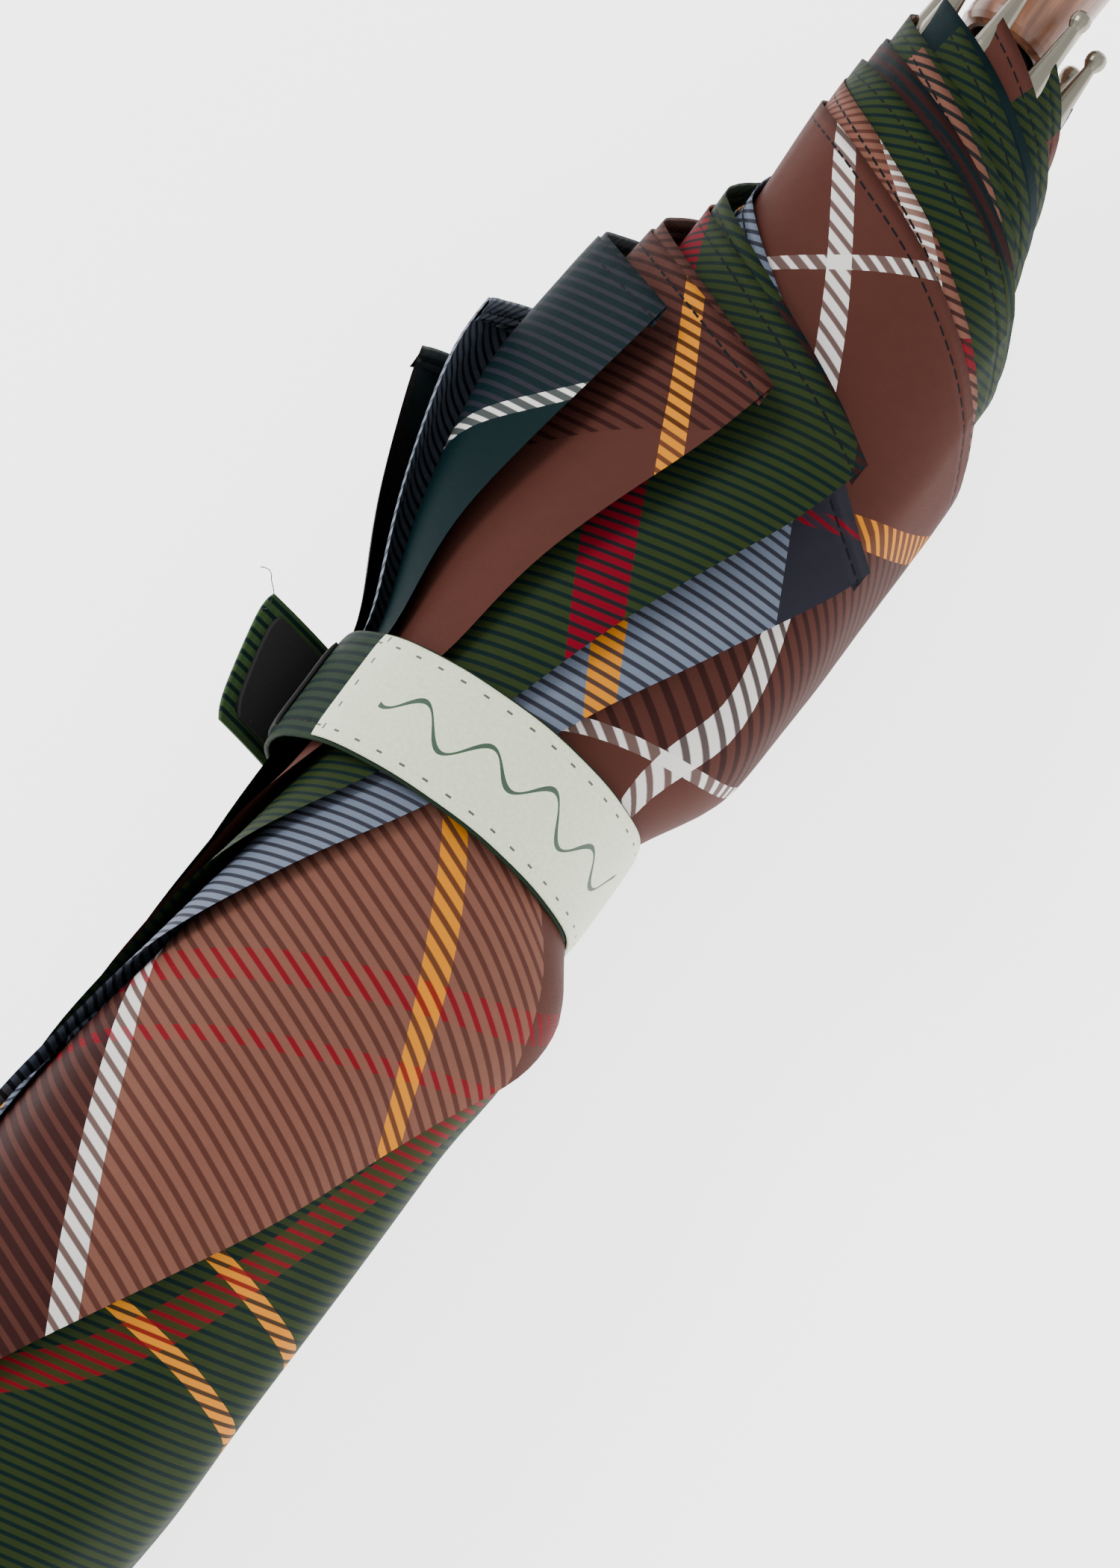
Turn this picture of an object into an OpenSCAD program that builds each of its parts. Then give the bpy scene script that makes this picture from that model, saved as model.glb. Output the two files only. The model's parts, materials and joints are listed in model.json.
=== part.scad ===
// Stick umbrella, closed and lying on its side, in millimetres.
// Z is up. The shaft lies along X with the ferrule towards -X and the crook handle towards +X.
// Each piece is drawn in the umbrella's own frame, with the shaft upright on Z, zero at the
// pivots of the ribs, and azimuth 0 on X. lay_down() turns that frame onto the floor.

/* [Frame] */
// length of a rib, from its pivot to the middle of its ball tip
rib_length = 600; // [595:1:605]
// radius of the circle that the ribs' and the stretchers' pivots stand on
pivot_r = 10; // [9.9:0.05:10.2]
// from the notch pivot to the rib's joint, and from there to the runner's pivot
arm = 270; // [268:1:272]
// how far the end of a rib bows outwards, so that its tip clears the handle
rib_bow = 2.5; // [2.3:0.1:3]

/* [Shaft] */
// outer diameter of the steel shaft
shaft_d = 10; // [9.98:0.01:10.02]
// wall of the shaft
shaft_wall = 0.7; // [0.6:0.05:0.8]
// radius of the pointed tip at its far end
tip_end_r = 4.4; // [3.5:0.1:5]
// how far the tip stands out beyond the rib pivots
tip_reach = 100; // [80:1:120]

/* [Handle] */
// radius of the wooden grip
grip_r = 10.5; // [10:0.1:11.5]
// radius of the crook's bend, to the middle of the wood
bend_r = 42; // [38:1:48]
// length of the straight wood before the bend
grip_length = 143; // [130:1:160]
// length of the straight wood beyond the bend
nose_length = 28; // [20:1:40]

/* [Canopy] */
// largest radius of the furled cloth, near its hem
furl_r = 44; // [43:0.5:46]
// radius of the furled cloth under the strap
waist_r = 29.3; // [28:0.1:29.6]
// gap at each side of a furled leaf
leaf_gap = 1; // [0.8:0.1:1.5]

/* [Strap] */
// width of the closing strap
strap_w = 22; // [20:0.5:26]
// where the strap lies, from the rib pivots
strap_at = 423; // [421:1:425]

/* [Hidden] */
r0 = pivot_r;
shaft_r = shaft_d / 2;
bore_r = shaft_r - shaft_wall;
shaft_top = -45;
shaft_end = 700;
handle_at = rib_length - 8;
runner_at = 2 * arm;
crook_turn = 180 + asin((furl_r - grip_r) / (2 * bend_r));
bend_at = handle_at + grip_length;
far_y = -2 * bend_r * cos(crook_turn - 180);
low_x = -tip_reach;
high_x = bend_at + bend_r + grip_r;
low_y = far_y - grip_r;
strap_r = waist_r + 0.5;
strap_t = 0.9;
tab_turn = 335;
tab_lean = 22;
tab_length = 27;
tab_y = strap_r * cos(tab_turn) + (tab_length + 0.3) * cos(tab_turn + 90 - tab_lean);
high_y = max(furl_r * cos(leaf_gap), tab_y + strap_t * cos(tab_turn - tab_lean));
mid_x = (low_x + high_x) / 2;
mid_y = (low_y + high_y) / 2;
eye_half = 0.6;
wire_r = 0.5;
rivet_r = 0.5;
eye_bore = 0.57;
catch_turn = 67.5;
catch_r = 2.6;
$fn = 48;

// ---------- frames and shared shapes ----------

// turns the umbrella's own frame onto the floor
module lay_down() {
    translate([-mid_x, -mid_y, furl_r]) rotate([0, 90, 0]) rotate([0, 0, 90]) children();
}

// puts a piece at the azimuth of rib i
module at_rib(i) {
    rotate([0, 0, 45 * (i - 1)]) children();
}

// a flat plate drawn as (radius, height), standing in the radial plane
module radial_plate(half) {
    translate([0, half, 0]) rotate([90, 0, 0]) linear_extrude(2 * half) children();
}

// a round rod across the radial plane
module cross_rod(r, half, at_r, at_z) {
    translate([at_r, half, at_z]) rotate([90, 0, 0]) cylinder(r = r, h = 2 * half);
}

// a ring of wire round the shaft
module wire_ring(r_wire, at_z) {
    translate([0, 0, at_z]) rotate_extrude($fn = 96) translate([r0, 0]) circle(r = r_wire, $fn = 24);
}

// eight slots for the eyes of ribs or stretchers
module eye_slots(at_z, low, high, deep) {
    for (i = [1:8]) at_rib(i) translate([deep, -0.85, at_z + low]) cube([20, 1.7, high - low]);
}

// an arc of cloth round the roll
module cloth_arc(r_in, thick, wide, from, to) {
    translate([0, 0, strap_at - wide / 2]) rotate([0, 0, from])
        rotate_extrude(angle = to - from, $fn = 96) translate([r_in, 0]) square([thick, wide]);
}

// ---------- shaft, ferrule, crown ----------

module shaft() {
    color("DimGray") lay_down() difference() {
        translate([0, 0, shaft_top]) cylinder(r = shaft_r, h = shaft_end - shaft_top, $fn = 64);
        translate([0, 0, shaft_top - 1]) cylinder(r = bore_r, h = shaft_end - shaft_top + 2, $fn = 64);
        // slots that the catches stand out of
        rotate([0, 0, catch_turn]) translate([0, -1.6, 171.5]) cube([8, 3.2, 15]);
        rotate([0, 0, catch_turn]) translate([0, -1.6, 552]) cube([8, 3.2, 14]);
        pins(0);
    }
}

// the five steel pins that cross the shaft
module pins(more) {
    cross_rod(0.9 + more, 6.6, 0, 7);
    cross_rod(1 + more, 6.3, 0, 101);
    rotate([0, 0, catch_turn]) cross_rod(0.8 + more, 3.6, catch_r, 215);
    rotate([0, 0, catch_turn]) cross_rod(0.8 + more, 3.6, catch_r, 522);
    cross_rod(1.2 + more, 9, 0, 640);
}

module cross_pins() {
    color("Silver") lay_down() pins(0);
}

module ferrule() {
    color("DarkSlateGray") lay_down() difference() {
        rotate_extrude($fn = 64) polygon([
            [0, -tip_reach], [tip_end_r - 1.2, -tip_reach], [tip_end_r - 0.3, -tip_reach + 0.6],
            [tip_end_r, -tip_reach + 2], [tip_end_r, -82], [5.4, -81], [5.4, -79],
            [5, -78], [6.6, -46], [6.6, -28], [7.4, -27], [7.4, -22], [0, -22]
        ]);
        translate([0, 0, shaft_top]) cylinder(r = shaft_r, h = 30, $fn = 64);
    }
}

module crown_cap() {
    color("DarkSlateGray") lay_down() difference() {
        rotate_extrude($fn = 64) polygon([
            [shaft_r, -22], [7.6, -22], [9.6, -18.5], [11.2, -13.5], [12.2, -7.6], [12.2, -6.8],
            [11.4, -6.8], [10.4, -12], [8.6, -17], [shaft_r, -19]
        ]);
        translate([0, 0, -30]) cylinder(r = shaft_r, h = 40, $fn = 64);
    }
}

module crown_rosette() {
    color("DarkOliveGreen") lay_down() difference() {
        translate([0, 0, -6.6]) cylinder(r = 13.6, h = 1.2, $fn = 64);
        translate([0, 0, -8]) cylinder(r = shaft_r, h = 4, $fn = 64);
    }
}

module notch() {
    color("DarkSlateGray") lay_down() difference() {
        rotate_extrude($fn = 64) polygon([
            [shaft_r, -5.2], [8, -5.2], [11.6, -2.6], [11.6, 2.6], [7.4, 2.6], [6.8, 4],
            [6.8, 12], [shaft_r, 12]
        ]);
        eye_slots(0, -6, 6, 8);
        wire_ring(wire_r + 0.05, 0);
        pins(0);
    }
}

module notch_wire() {
    color("Silver") lay_down() wire_ring(wire_r, 0);
}

// ---------- runner ----------

module runner() {
    color("Black") lay_down() translate([0, 0, runner_at]) difference() {
        rotate_extrude($fn = 64) polygon([
            [5.06, -36], [6.4, -36], [6.4, -3.4], [8, -2.8], [11.6, -2.8], [11.6, 2.8], [8, 3.4],
            [6.5, 4.5], [6.5, 29.5], [8.2, 30.5], [8.2, 32], [5.06, 32]
        ]);
        eye_slots(0, -6, 6, 8);
        wire_ring(wire_r + 0.05, 0);
        // window that the lower catch stands in
        rotate([0, 0, catch_turn]) translate([3, -1.9, 16]) cube([8, 3.8, 10.5]);
    }
}

module runner_wire() {
    color("Silver") lay_down() wire_ring(wire_r, runner_at);
}

// ---------- catches ----------

// a sprung arm inside the shaft with a nose that stands out of the slot
module catch_arm(pivot, nose_low, nose_high, slope) {
    away = pivot > nose_high ? 1 : -1;
    near = away > 0 ? nose_high : nose_low;
    far = away > 0 ? nose_low : nose_high;
    difference() {
        union() {
            radial_plate(1.3) polygon([
                [2.3, pivot], [3, pivot], [3, near], [3.8, near], [7.3, far + away * slope],
                [7.3, far], [2.3, far]
            ]);
            cross_rod(1.4, 1.2, catch_r, pivot);
        }
        cross_rod(0.87, 3, catch_r, pivot);
    }
}

module top_catch() {
    color("Silver") lay_down() rotate([0, 0, catch_turn]) catch_arm(215, 172.6, 185, 1.5);
}

module bottom_catch() {
    color("Silver") lay_down() rotate([0, 0, catch_turn]) catch_arm(522, 557, 565.4, 1.5);
}

// ---------- ribs and stretchers ----------

bow_at = 430;
tip_at = rib_length - 25;
bow_slope = rib_bow / (tip_at - bow_at);

module rib(i) {
    color("DarkSlateGray") lay_down() at_rib(i) {
        difference() {
            union() {
                // eye and neck
                radial_plate(eye_half) polygon([
                    [r0 - 1.3, -0.6], [r0 + 0.4, -1.3], [r0 + 1.3, -0.6], [r0 + 2.2, 4],
                    [r0 + 2.2, 10], [r0 + 1, 10], [r0 + 0.2, 4], [r0 - 1.3, 0.6]
                ]);
                // the channel, open towards the shaft
                radial_plate(1.3) polygon([
                    [r0 + 0.5, 7], [r0 + 2.6, 7], [r0 + 2.6, bow_at],
                    [r0 + 2.6 + rib_bow, tip_at], [r0 + 0.5 + rib_bow, tip_at], [r0 + 0.5, bow_at]
                ]);
                // two cheeks that hold the stretcher's joint
                for (side = [-1, 1]) translate([0, side * 1, 0]) radial_plate(0.22) polygon([
                    [r0 - 1.3, arm - 2], [r0 - 1.3, arm + 2], [r0 + 1.2, arm + 4],
                    [r0 + 1.2, arm - 4]
                ]);
            }
            radial_plate(0.7) polygon([
                [r0, 11], [r0 + 1.9, 11], [r0 + 1.9, bow_at],
                [r0 + 1.9 + rib_bow, tip_at - 1], [r0 + rib_bow, tip_at - 1], [r0, bow_at]
            ]);
            cross_rod(wire_r + 0.07, 3, r0, 0);
            cross_rod(rivet_r + 0.02, 3, r0, arm);
        }
        // the rivet of the stretcher's joint
        cross_rod(rivet_r, 1.5, r0, arm);
        for (side = [-1, 1]) translate([0, side * 1.4, 0]) cross_rod(1, 0.15, r0, arm);
    }
}

module rib_tip(i) {
    lean = atan(bow_slope);
    color("DimGray") lay_down() at_rib(i) translate([r0 + 1.55 + rib_bow, 0, tip_at + 0.1])
        rotate([0, lean, 0]) rotate_extrude($fn = 32) polygon([
            [0, 0], [2.1, 0], [2.3, 1.5], [2.3, 9], [1.1, 22.6], [1.4, 23.2], [1.75, 23.8],
            [1.9, 24.6], [1.9, 25], [1.75, 25.7], [1.3, 26.3], [0.7, 26.6], [0, 26.7]
        ]);
}

module stretcher(i) {
    color("DarkSlateGray") lay_down() at_rib(i) difference() {
        union() {
            for (end = [0, 1]) translate([0, 0, end * runner_at]) mirror([0, 0, end])
                translate([0, 0, end > 0 ? 0 : arm]) radial_plate(eye_half) polygon([
                    [r0 - 0.6, -1.2], [r0 + 0.6, -1.2], [r0 + 1.2, 0], [r0 + 0.6, 1.4],
                    [r0 - 0.6, 9], [r0 - 3, 9], [r0 - 3, 6.4], [r0 - 1.2, 0]
                ]);
            radial_plate(1.3) polygon([
                [r0 - 3.1, arm + 7.2], [r0 - 1, arm + 7.2], [r0 - 0.7, arm + 11],
                [r0 - 0.7, runner_at - 11], [r0 - 1, runner_at - 7.2], [r0 - 3.1, runner_at - 7.2]
            ]);
        }
        radial_plate(0.65) polygon([
            [r0 - 2.4, arm + 10], [r0 + 1, arm + 10], [r0 + 1, runner_at - 10],
            [r0 - 2.4, runner_at - 10]
        ]);
        cross_rod(eye_bore, 3, r0, arm);
        cross_rod(eye_bore, 3, r0, runner_at);
    }
}

// ---------- handle ----------

module handle() {
    color("Peru") lay_down() rotate([0, 0, crook_turn]) difference() {
        union() {
            translate([0, 0, handle_at]) rotate_extrude($fn = 64) polygon([
                [0, 0], [7.6, 0], [8.6, 0.6], [9.3, 1.8], [9.5, 3.5], [9.5, 13],
                [grip_r, 34], [grip_r, grip_length], [0, grip_length]
            ]);
            translate([bend_r, 0, bend_at]) rotate([90, 0, 0]) rotate([0, 0, 0])
                rotate_extrude(angle = 180, $fn = 96) translate([bend_r, 0])
                    circle(r = grip_r, $fn = 64);
            translate([2 * bend_r, 0, bend_at - nose_length])
                cylinder(r = grip_r, h = nose_length, $fn = 64);
            translate([2 * bend_r, 0, bend_at - nose_length]) rotate_extrude($fn = 64)
                intersection() {
                    circle(r = grip_r, $fn = 64);
                    translate([0, -grip_r]) square([grip_r, grip_r + 0.01]);
                }
        }
        translate([0, 0, handle_at - 1]) cylinder(r = 6.8, h = 6, $fn = 64);
        translate([0, 0, handle_at]) cylinder(r = shaft_r, h = shaft_end - handle_at, $fn = 64);
        rotate([0, 0, -crook_turn]) pins(0);
    }
}

// ---------- canopy ----------

// half section of the furled roll, as (radius, height)
module furl_section() {
    polygon([
        [14, 18], [17, 100], [23.5, 200], [31, 300], [34, 340], [34, 394], [waist_r, 411],
        [waist_r, 435], [38, 455], [furl_r, 482], [furl_r, 508], [38, 525], [30, 545],
        [26, 574], [20.5, 588], [17.4, 588], [16.6, 560], [13.6, 440], [13.6, 18]
    ]);
}

module leaf(from, tone) {
    color(tone) lay_down() rotate([0, 0, from + leaf_gap])
        rotate_extrude(angle = 22.5 - 2 * leaf_gap, $fn = 96) furl_section();
}

module panel_left(i) {
    leaf(45 * (i - 1), "SaddleBrown");
}

module panel_right(i) {
    leaf(45 * (i - 1) + 22.5, "DarkGreen");
}

// ---------- strap ----------

module strap_front() {
    color("DarkSlateGray") lay_down() cloth_arc(strap_r, strap_t, strap_w, -8, 199);
}

module strap_back() {
    color("DarkSlateGray") lay_down() cloth_arc(strap_r, strap_t, strap_w, 200, 334);
}

// the free end stands away from the roll
module strap_tab() {
    color("DarkSlateGray") lay_down() rotate([0, 0, tab_turn]) translate([strap_r, 0, strap_at])
        rotate([0, 0, -tab_lean]) translate([0, 0.3, -strap_w / 2])
            cube([strap_t, tab_length, strap_w]);
}

module label() {
    color("Beige") lay_down() cloth_arc(strap_r + strap_t, 0.5, 20, 50, 192);
}

module loop_patch() {
    color("Black") lay_down() cloth_arc(strap_r + strap_t, 0.7, 18, -6, 20);
}

module hook_patch() {
    color("Black") lay_down() rotate([0, 0, tab_turn]) translate([strap_r, 0, strap_at])
        rotate([0, 0, -tab_lean]) translate([-0.8, 4, -9]) cube([0.8, 21, 18]);
}

// ---------- what is drawn ----------

shaft();
cross_pins();
ferrule();
crown_cap();
crown_rosette();
notch();
notch_wire();
runner();
runner_wire();
top_catch();
bottom_catch();
handle();
rib(1);  // rib_1
rib(2);  // rib_2
rib(3);  // rib_3
rib(4);  // rib_4
rib(5);  // rib_5
rib(6);  // rib_6
rib(7);  // rib_7
rib(8);  // rib_8
rib_tip(1);  // rib_tip_1
rib_tip(2);  // rib_tip_2
rib_tip(3);  // rib_tip_3
rib_tip(4);  // rib_tip_4
rib_tip(5);  // rib_tip_5
rib_tip(6);  // rib_tip_6
rib_tip(7);  // rib_tip_7
rib_tip(8);  // rib_tip_8
stretcher(1);  // stretcher_1
stretcher(2);  // stretcher_2
stretcher(3);  // stretcher_3
stretcher(4);  // stretcher_4
stretcher(5);  // stretcher_5
stretcher(6);  // stretcher_6
stretcher(7);  // stretcher_7
stretcher(8);  // stretcher_8
panel_left(1);  // panel_1_left
panel_right(1);  // panel_1_right
panel_left(2);  // panel_2_left
panel_right(2);  // panel_2_right
panel_left(3);  // panel_3_left
panel_right(3);  // panel_3_right
panel_left(4);  // panel_4_left
panel_right(4);  // panel_4_right
panel_left(5);  // panel_5_left
panel_right(5);  // panel_5_right
panel_left(6);  // panel_6_left
panel_right(6);  // panel_6_right
panel_left(7);  // panel_7_left
panel_right(7);  // panel_7_right
panel_left(8);  // panel_8_left
panel_right(8);  // panel_8_right
strap_front();
strap_back();
strap_tab();
label();
hook_patch();
loop_patch();
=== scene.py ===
"""A stick umbrella, furled and strapped, lying on a pale surface."""

import json
import math

import bpy
import numpy as np
from mathutils import Matrix, Vector

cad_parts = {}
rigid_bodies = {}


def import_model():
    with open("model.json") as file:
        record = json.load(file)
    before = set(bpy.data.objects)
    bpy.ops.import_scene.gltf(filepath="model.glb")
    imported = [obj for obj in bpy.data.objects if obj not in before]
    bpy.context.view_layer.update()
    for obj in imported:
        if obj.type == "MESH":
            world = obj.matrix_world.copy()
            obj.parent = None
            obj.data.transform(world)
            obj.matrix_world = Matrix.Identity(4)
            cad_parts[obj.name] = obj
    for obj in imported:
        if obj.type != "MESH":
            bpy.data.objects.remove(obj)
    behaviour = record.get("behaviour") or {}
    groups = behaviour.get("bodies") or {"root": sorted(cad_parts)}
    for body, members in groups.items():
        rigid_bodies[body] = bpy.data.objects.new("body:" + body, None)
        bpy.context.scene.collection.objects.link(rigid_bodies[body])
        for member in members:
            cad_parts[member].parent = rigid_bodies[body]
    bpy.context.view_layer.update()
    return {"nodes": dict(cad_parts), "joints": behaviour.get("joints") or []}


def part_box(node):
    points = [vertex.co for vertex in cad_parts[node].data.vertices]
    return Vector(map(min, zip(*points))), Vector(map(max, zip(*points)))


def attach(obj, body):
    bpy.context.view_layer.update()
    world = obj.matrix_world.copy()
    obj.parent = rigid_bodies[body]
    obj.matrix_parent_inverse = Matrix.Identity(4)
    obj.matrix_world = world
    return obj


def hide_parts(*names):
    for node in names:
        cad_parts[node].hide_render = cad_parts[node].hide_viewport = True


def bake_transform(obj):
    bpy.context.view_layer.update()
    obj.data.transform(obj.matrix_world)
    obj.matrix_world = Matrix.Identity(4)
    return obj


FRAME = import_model()

# ---------- where the umbrella lies ----------
# Lengths in the furled shape are in millimetres: s runs along the shaft from the rib pivots
# to the handle, r is the distance from the shaft's middle, and an azimuth starts at +Y and
# turns over the top towards -Y.

SHAFT_LOW, SHAFT_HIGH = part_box("shaft")
PIVOT_X = SHAFT_LOW.x + 0.045
AXIS_Y = (SHAFT_LOW.y + SHAFT_HIGH.y) / 2
AXIS_Z = (SHAFT_LOW.z + SHAFT_HIGH.z) / 2
RIBS = 8
STEP = 360 / RIBS
STRAP_AT = 423.0


def place(s, r, azimuth):
    """Points in the frame, in metres, from umbrella coordinates."""
    a = np.radians(azimuth)
    x = PIVOT_X + s / 1000
    y = AXIS_Y + r * np.cos(a) / 1000
    z = AXIS_Z + r * np.sin(a) / 1000
    return np.stack(np.broadcast_arrays(x, y, z), axis=-1)


def curve(points, soft):
    """A smooth function of s through or near (s, value) points."""
    grid = np.arange(-60.0, 680.0, 1.0)
    values = np.interp(grid, *np.array(points, float).T)
    reach = int(3 * soft)
    bell = np.exp(-0.5 * (np.arange(-reach, reach + 1) / soft) ** 2)
    padded = np.pad(values, reach, mode="edge")
    values = np.convolve(padded, bell / bell.sum(), mode="valid")
    return lambda s: np.interp(s, grid, values)


# ---------- materials ----------


class Shader:
    """A principled material and short ways to add nodes to it."""

    def __init__(self, name, rough=0.5, metal=0.0, **sockets):
        self.material = bpy.data.materials.new(name)
        self.material.use_nodes = True
        self.tree = self.material.node_tree
        self.main = self.tree.nodes["Principled BSDF"]
        self.main.inputs["Roughness"].default_value = rough
        self.main.inputs["Metallic"].default_value = metal
        for key, value in sockets.items():
            self.main.inputs[key.replace("_", " ")].default_value = value

    def set(self, socket, value):
        if isinstance(value, bpy.types.NodeSocket):
            self.tree.links.new(value, socket)
        else:
            socket.default_value = value

    def node(self, kind, **settings):
        made = self.tree.nodes.new(kind)
        for key, value in settings.items():
            setattr(made, key, value)
        return made

    def wave(self, value, length):
        return self.math("SINE", self.math("MULTIPLY", value, 2 * math.pi / length))

    def math(self, operation, a, b=0.0):
        made = self.node("ShaderNodeMath", operation=operation)
        self.set(made.inputs[0], a)
        self.set(made.inputs[1], b)
        return made.outputs[0]

    def mix(self, share, a, b):
        made = self.node("ShaderNodeMix", data_type="RGBA")
        self.set(made.inputs["Factor"], share)
        self.set(made.inputs[6], a)
        self.set(made.inputs[7], b)
        return made.outputs[2]

    def noise(self, vector, scale, detail=2.0, rough=0.5):
        made = self.node("ShaderNodeTexNoise")
        self.set(made.inputs["Vector"], vector)
        made.inputs["Scale"].default_value = scale
        made.inputs["Detail"].default_value = detail
        made.inputs["Roughness"].default_value = rough
        return made.outputs["Fac"]

    def ramp(self, value, stops, mode="LINEAR"):
        made = self.node("ShaderNodeValToRGB")
        made.color_ramp.interpolation = mode
        elements = made.color_ramp.elements
        while len(elements) < len(stops):
            elements.new(0.5)
        for element, (at, _) in zip(elements, stops):
            element.position = at
        for element, (_, colour) in zip(elements, stops):
            element.color = (*colour, 1)
        self.set(made.inputs[0], value)
        return made.outputs[0]

    def uv(self, name):
        """The two coordinates of a map, then both as a vector."""
        made = self.node("ShaderNodeUVMap", uv_map=name)
        split = self.node("ShaderNodeSeparateXYZ")
        self.set(split.inputs[0], made.outputs[0])
        return split.outputs[0], split.outputs[1], made.outputs[0]

    def objects(self):
        return self.node("ShaderNodeTexCoord").outputs["Object"]

    def colour(self, value):
        self.set(self.main.inputs["Base Color"], value)

    def bump(self, height, strength, distance):
        made = self.node("ShaderNodeBump")
        made.inputs["Strength"].default_value = strength
        made.inputs["Distance"].default_value = distance
        self.set(made.inputs["Height"], height)
        self.set(self.main.inputs["Normal"], made.outputs[0])


def rgb(red, green, blue):
    """A linear colour from 0 to 255 values as seen."""

    def linear(value):
        value /= 255
        return value / 12.92 if value <= 0.04045 else ((value + 0.055) / 1.055) ** 2.4

    return linear(red), linear(green), linear(blue)


BROWN = rgb(72, 41, 35)
TAN = rgb(112, 74, 62)
ESPRESSO = rgb(42, 21, 20)
OLIVE = rgb(39, 49, 23)
TEAL = rgb(7, 25, 28)
DARK_TEAL = rgb(13, 27, 28)
SLATE = rgb(100, 109, 126)
CHARCOAL = rgb(36, 36, 44)
WHITE = rgb(214, 212, 208)
RED = rgb(108, 5, 24)
OCHRE = rgb(200, 124, 20)

# The tartan runs at about 45 degrees to each panel's fold. A print lists where the ground
# colour changes and where the thin lines lie, in millimetres along the two diagonals.
LINES = {WHITE: 2.6, OCHRE: 3.9, RED: 5.2}
OTHER_LINE = 4.0
PRINT_LOW, PRINT_HIGH = -170.0, 640.0
# the point of the flat panel that its print and its hatching are turned about
MIDDLE_U, MIDDLE_V = 75.0, 320.0
HATCH = 1.98
# hem stitches, from the edge of the cloth
STITCHES_IN = 3.0


def stops(ground, lines):
    """Ramp stops for one diagonal of a print."""
    edges = {at for at, _ in ground}
    for at, colour in lines:
        half = LINES.get(colour, OTHER_LINE) / 2
        edges.update((at - half, at + half))
    found = []
    for edge in sorted(edges):
        middle = edge + 0.01
        colour = [tone for at, tone in ground if at <= middle][-1]
        for at, tone in lines:
            if abs(middle - at) < LINES.get(tone, OTHER_LINE) / 2:
                colour = tone
        found.append(((edge - PRINT_LOW) / (PRINT_HIGH - PRINT_LOW), colour))
    return found


def cloth_material(name, warp, weft, turn=0.0, hatch_turn=0.0):
    """Printed satin. Its first map is the cloth's own flat millimetres, and its second is the
    way along the hem and the distance from the hem's edge."""
    m = Shader(name, rough=0.58)
    m.main.inputs["Specular IOR Level"].default_value = 0.03
    u, v, flat = m.uv("cloth")
    du = m.math("SUBTRACT", u, MIDDLE_U)
    dv = m.math("SUBTRACT", v, MIDDLE_V)

    def turned(angle, first, second, sign):
        """A coordinate of the flat cloth in axes turned about the panel's middle."""
        one = m.math("MULTIPLY", first, math.cos(math.radians(angle)))
        two = m.math("MULTIPLY", second, sign * math.sin(math.radians(angle)))
        return m.math("ADD", one, two)

    turned_u = m.math("ADD", turned(turn, du, dv, -1.0), MIDDLE_U)
    turned_v = m.math("ADD", turned(turn, dv, du, 1.0), MIDDLE_V)
    half = math.sqrt(0.5)
    a = m.math("MULTIPLY", m.math("ADD", turned_u, turned_v), half)
    b = m.math("MULTIPLY", m.math("SUBTRACT", turned_v, turned_u), half)
    a = m.math("DIVIDE", m.math("SUBTRACT", a, PRINT_LOW), PRINT_HIGH - PRINT_LOW)
    b = m.math("DIVIDE", m.math("SUBTRACT", b, PRINT_LOW), PRINT_HIGH - PRINT_LOW)
    # hatching across the panel picks the warp or the weft colour, with slightly soft edges
    hatch = m.math("FRACT", m.math("DIVIDE", turned(hatch_turn, dv, du, 1.0), HATCH))
    hatch = m.math("ABSOLUTE", m.math("SUBTRACT", hatch, 0.5))
    hatch = m.math("MULTIPLY", m.math("SUBTRACT", hatch, 0.15), 10.0)
    hatch = m.math("MAXIMUM", m.math("MINIMUM", hatch, 0.93), 0.07)
    warp_colour = m.ramp(a, stops(*warp), "CONSTANT")
    weft_colour = m.ramp(b, stops(*weft), "CONSTANT")
    print_colour = m.mix(hatch, warp_colour, weft_colour)
    # fine satin weave, and threads that differ a little
    weave = m.math("MULTIPLY", m.wave(u, 0.30), m.wave(v, 0.36))
    diagonal = m.wave(m.math("ADD", u, v), 0.52)
    weave = m.math("ADD", weave, m.math("MULTIPLY", diagonal, 0.5))
    cloudy = m.noise(flat, 0.35, 3.0)
    shade = m.math("ADD", m.math("MULTIPLY", weave, 0.05), m.math("MULTIPLY", cloudy, 0.14))
    shade = m.math("ADD", shade, 0.91)
    shaded = m.node("ShaderNodeVectorMath", operation="SCALE")
    m.set(shaded.inputs[0], print_colour)
    m.set(shaded.inputs["Scale"], shade)
    # the hem's line of stitches, and the turned edge that puckers a little along it
    along, away, _ = m.uv("hem")
    from_stitches = m.math("ABSOLUTE", m.math("SUBTRACT", away, STITCHES_IN))
    line = m.math("LESS_THAN", from_stitches, 0.22)
    dash = m.math("LESS_THAN", m.math("FRACT", m.math("DIVIDE", along, 2.4)), 0.72)
    stitch = m.math("MULTIPLY", line, dash)
    m.colour(m.mix(stitch, shaded.outputs[0], (*rgb(20, 22, 24), 1)))
    groove = m.math("MINIMUM", m.math("MULTIPLY", from_stitches, 0.8), 1.0)
    near = m.math("LESS_THAN", away, 5.0)
    pucker = m.math("MULTIPLY", m.math("MULTIPLY", m.wave(along, 4.8), near), 0.10)
    soft = m.math("MULTIPLY", m.noise(flat, 0.09, 2.0), 1.2)
    height = m.math("ADD", m.math("MULTIPLY", weave, 0.05), groove)
    height = m.math("ADD", m.math("ADD", height, pucker), soft)
    m.bump(height, 0.5, 0.0004)
    return m.material


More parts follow.
